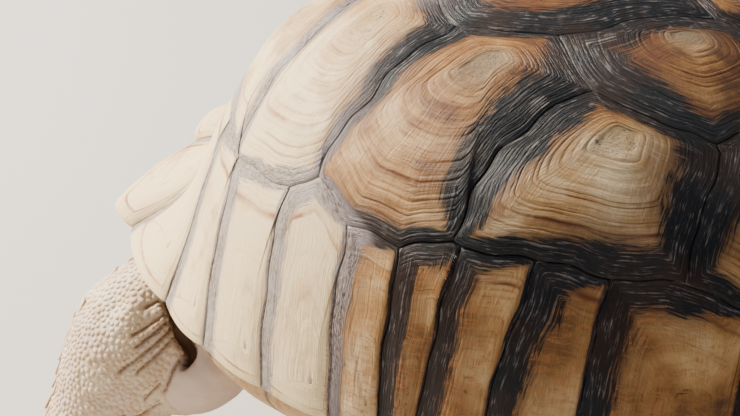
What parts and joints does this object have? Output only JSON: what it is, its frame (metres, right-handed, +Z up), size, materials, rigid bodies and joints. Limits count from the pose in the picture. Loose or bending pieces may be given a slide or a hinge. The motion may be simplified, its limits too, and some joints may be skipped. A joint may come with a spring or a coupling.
{
  "type": "sulcata tortoise model",
  "caption": "Life-size adult sulcata tortoise standing still, with a high domed, deeply grooved shell, flared front rim, scaled column legs, low head and short tail.",
  "frame": {"origin": "on the floor, under the middle of the animal's outer box", "axes": "+Z up from the floor, -Y towards the animal's head and +X towards its left side"},
  "size_m": [0.5276, 0.6882, 0.392],
  "materials": {
    "shell": "horn plates, dry and matt with fine growth rings",
    "belly_plate": "horn plates, rubbed smooth",
    "skin": "dry, scaled and wrinkled hide",
    "eye": "wet and glossy"
  },
  "bodies": {
    "root": {"carapace": "shell", "plastron": "belly_plate", "torso": "skin", "foreleg_left": "skin", "foreleg_right": "skin", "hindleg_left": "skin", "hindleg_right": "skin", "tail": "skin", "neck": "skin", "head": "skin", "eye_left": "eye", "eye_right": "eye"}
  },
  "joints": []
}
